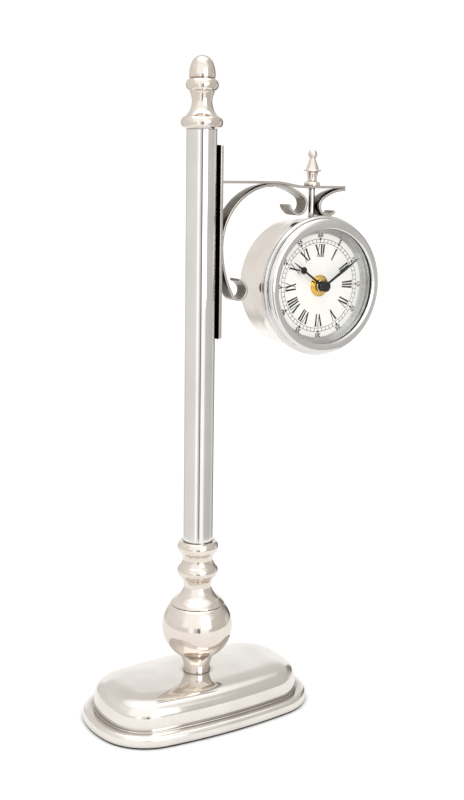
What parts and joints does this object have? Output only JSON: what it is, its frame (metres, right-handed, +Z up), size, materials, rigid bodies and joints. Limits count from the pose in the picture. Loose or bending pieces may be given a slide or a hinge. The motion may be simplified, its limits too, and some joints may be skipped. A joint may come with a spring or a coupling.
{
  "type": "street clock",
  "caption": "Table clock shaped like a street clock: obround base, turned column, scroll bracket and a hanging round clock head.",
  "frame": {"origin": "centre of the column on the plane that the felt pad rests on", "axes": "+Z up, +X along the arm from the column to the clock head, -Y is the side that the dial faces"},
  "size_m": [0.2031, 0.0886, 0.4136],
  "materials": {
    "nickel_casting": "polished nickel plate, warm tint",
    "nickel_tube": "polished nickel plate, cool tint",
    "nickel_strip": "polished nickel plate on bent strip",
    "nickel_drum": "polished nickel plate, spun",
    "nickel_bezel": "polished nickel plate, spun ring",
    "steel": "zinc plated",
    "ballast_iron": "painted",
    "felt": "pressed felt",
    "brass": "polished",
    "reflector": "satin",
    "dial_paper": "matt printed card",
    "case_plastic": "moulded",
    "wheel_plastic": "moulded",
    "knob_plastic": "moulded, knurled",
    "board": "resin board",
    "copper": "enamelled wire",
    "rubber": "moulded",
    "contact_steel": "nickel plated spring",
    "clear_glass": "polished",
    "hand_black": "satin black",
    "battery_sleeve": "printed sleeve"
  },
  "bodies": {
    "stand": {"base_casting": "nickel_casting", "felt_pad": "felt", "ballast_plate": "ballast_iron", "lower_baluster": "nickel_casting", "upper_baluster": "nickel_casting", "column_tube": "nickel_tube", "top_collar": "nickel_casting", "acorn_finial": "nickel_casting", "tie_rod": "steel", "rod_washer": "steel", "rod_nut": "steel", "wall_plate": "nickel_strip", "top_bar": "nickel_strip", "brace_scroll": "nickel_strip", "end_scroll": "nickel_strip", "plate_screws": "steel", "bracket_rivets": "nickel_strip", "hanger_stud": "steel", "hanger_spacer": "nickel_strip", "hanger_washer": "steel", "hanger_nut": "steel", "cone_finial": "nickel_casting", "drum_case": "nickel_drum", "reflector_ring": "reflector", "dial_plate": "dial_paper", "movement_case": "case_plastic", "movement_cover": "case_plastic", "threaded_bushing": "brass", "rubber_washer": "rubber", "brass_washer": "brass", "fixing_nut": "brass", "stator_plate": "steel", "drive_coil": "copper", "motor_rotor": "case_plastic", "circuit_board": "board", "negative_contact": "contact_steel", "positive_contact": "contact_steel"},
    "bezel": {"bezel_ring": "nickel_bezel", "glass": "clear_glass", "glass_gasket": "rubber"},
    "minute": {"minute_arbor": "steel", "minute_hand": "hand_black", "hub_cap": "hand_black"},
    "hour": {"hour_wheel": "wheel_plastic", "hour_hand": "hand_black"},
    "setter": {"motion_wheel": "wheel_plastic", "set_knob": "knob_plastic"},
    "cell": {"battery": "battery_sleeve"}
  },
  "joints": [
    {"name": "minute_turn", "type": "hinge", "parent": "stand", "child": "minute", "pos_m": [0.0826, -0.0169, 0.2744], "axis": [0, 1, 0], "continuous": true},
    {"name": "hour_turn", "type": "hinge", "parent": "stand", "child": "hour", "pos_m": [0.0826, -0.0145, 0.2744], "axis": [0, 1, 0], "continuous": true},
    {"name": "knob_turn", "type": "hinge", "parent": "stand", "child": "setter", "pos_m": [0.0826, 0.0075, 0.2844], "axis": [0, 1, 0], "continuous": true},
    {"name": "bezel_pull", "type": "slide", "parent": "stand", "child": "bezel", "axis": [0, -1, 0], "range_m": [0, 0.03]},
    {"name": "battery_slide", "type": "slide", "parent": "stand", "child": "cell", "axis": [0, 1, 0], "range_m": [0, 0.034]}
  ],
  "couplings": [
    {"joint": "hour_turn", "follows": "minute_turn", "ratio": 0.083333},
    {"joint": "knob_turn", "follows": "minute_turn", "ratio": -0.33333}
  ]
}
